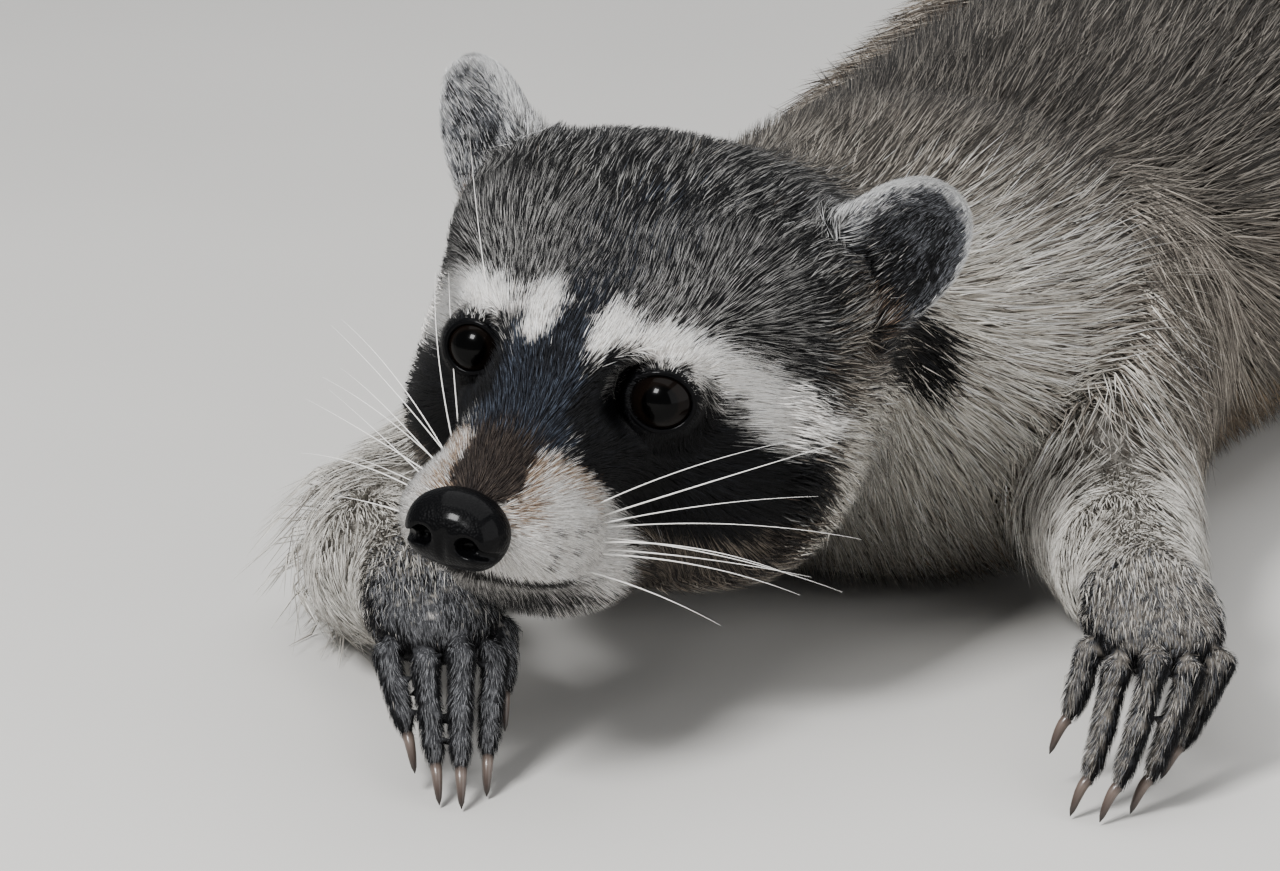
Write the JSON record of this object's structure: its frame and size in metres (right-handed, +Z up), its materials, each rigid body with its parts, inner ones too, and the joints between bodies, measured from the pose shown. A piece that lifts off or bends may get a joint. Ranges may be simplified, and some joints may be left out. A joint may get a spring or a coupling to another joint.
{
  "type": "raccoon",
  "caption": "Lifelike raccoon lying at rest with its chin on one wrist, forelegs reaching forward and ringed tail laid on the floor.",
  "frame": {"origin": "middle of the figure's plan, on the floor it lies on", "axes": "+Z up; the raccoon faces -Y and its own left side is towards +X"},
  "size_m": [0.3134, 0.7312, 0.1478],
  "materials": {
    "coat": "grizzled grey-brown coat of long guard hairs with black mask, white brow and ringed tail",
    "hand_fur": "short flat grey fur on hands and feet",
    "nose_leather": "moist black pebbled skin",
    "eye": "wet dark brown eye",
    "claw": "smooth dark horn"
  },
  "bodies": {
    "root": {"claw_left_1": "claw", "claw_left_2": "claw", "claw_left_3": "claw", "claw_left_4": "claw", "claw_left_5": "claw", "claw_right_1": "claw", "claw_right_2": "claw", "claw_right_3": "claw", "claw_right_4": "claw", "claw_right_5": "claw", "ear_left": "coat", "ear_right": "coat", "eye_left": "eye", "eye_right": "eye", "foot_left": "hand_fur", "foot_right": "hand_fur", "forearm_left": "coat", "forearm_right": "coat", "hand_left": "hand_fur", "hand_right": "hand_fur", "head": "coat", "neck": "coat", "nose": "nose_leather", "shank_left": "coat", "shank_right": "coat", "tail_1": "coat", "tail_2": "coat", "tail_3": "coat", "tail_4": "coat", "thigh_left": "coat", "thigh_right": "coat", "toe_claw_left_1": "claw", "toe_claw_left_2": "claw", "toe_claw_left_3": "claw", "toe_claw_left_4": "claw", "toe_claw_left_5": "claw", "toe_claw_right_1": "claw", "toe_claw_right_2": "claw", "toe_claw_right_3": "claw", "toe_claw_right_4": "claw", "toe_claw_right_5": "claw", "trunk": "coat", "upper_arm_left": "coat", "upper_arm_right": "coat"}
  },
  "joints": []
}
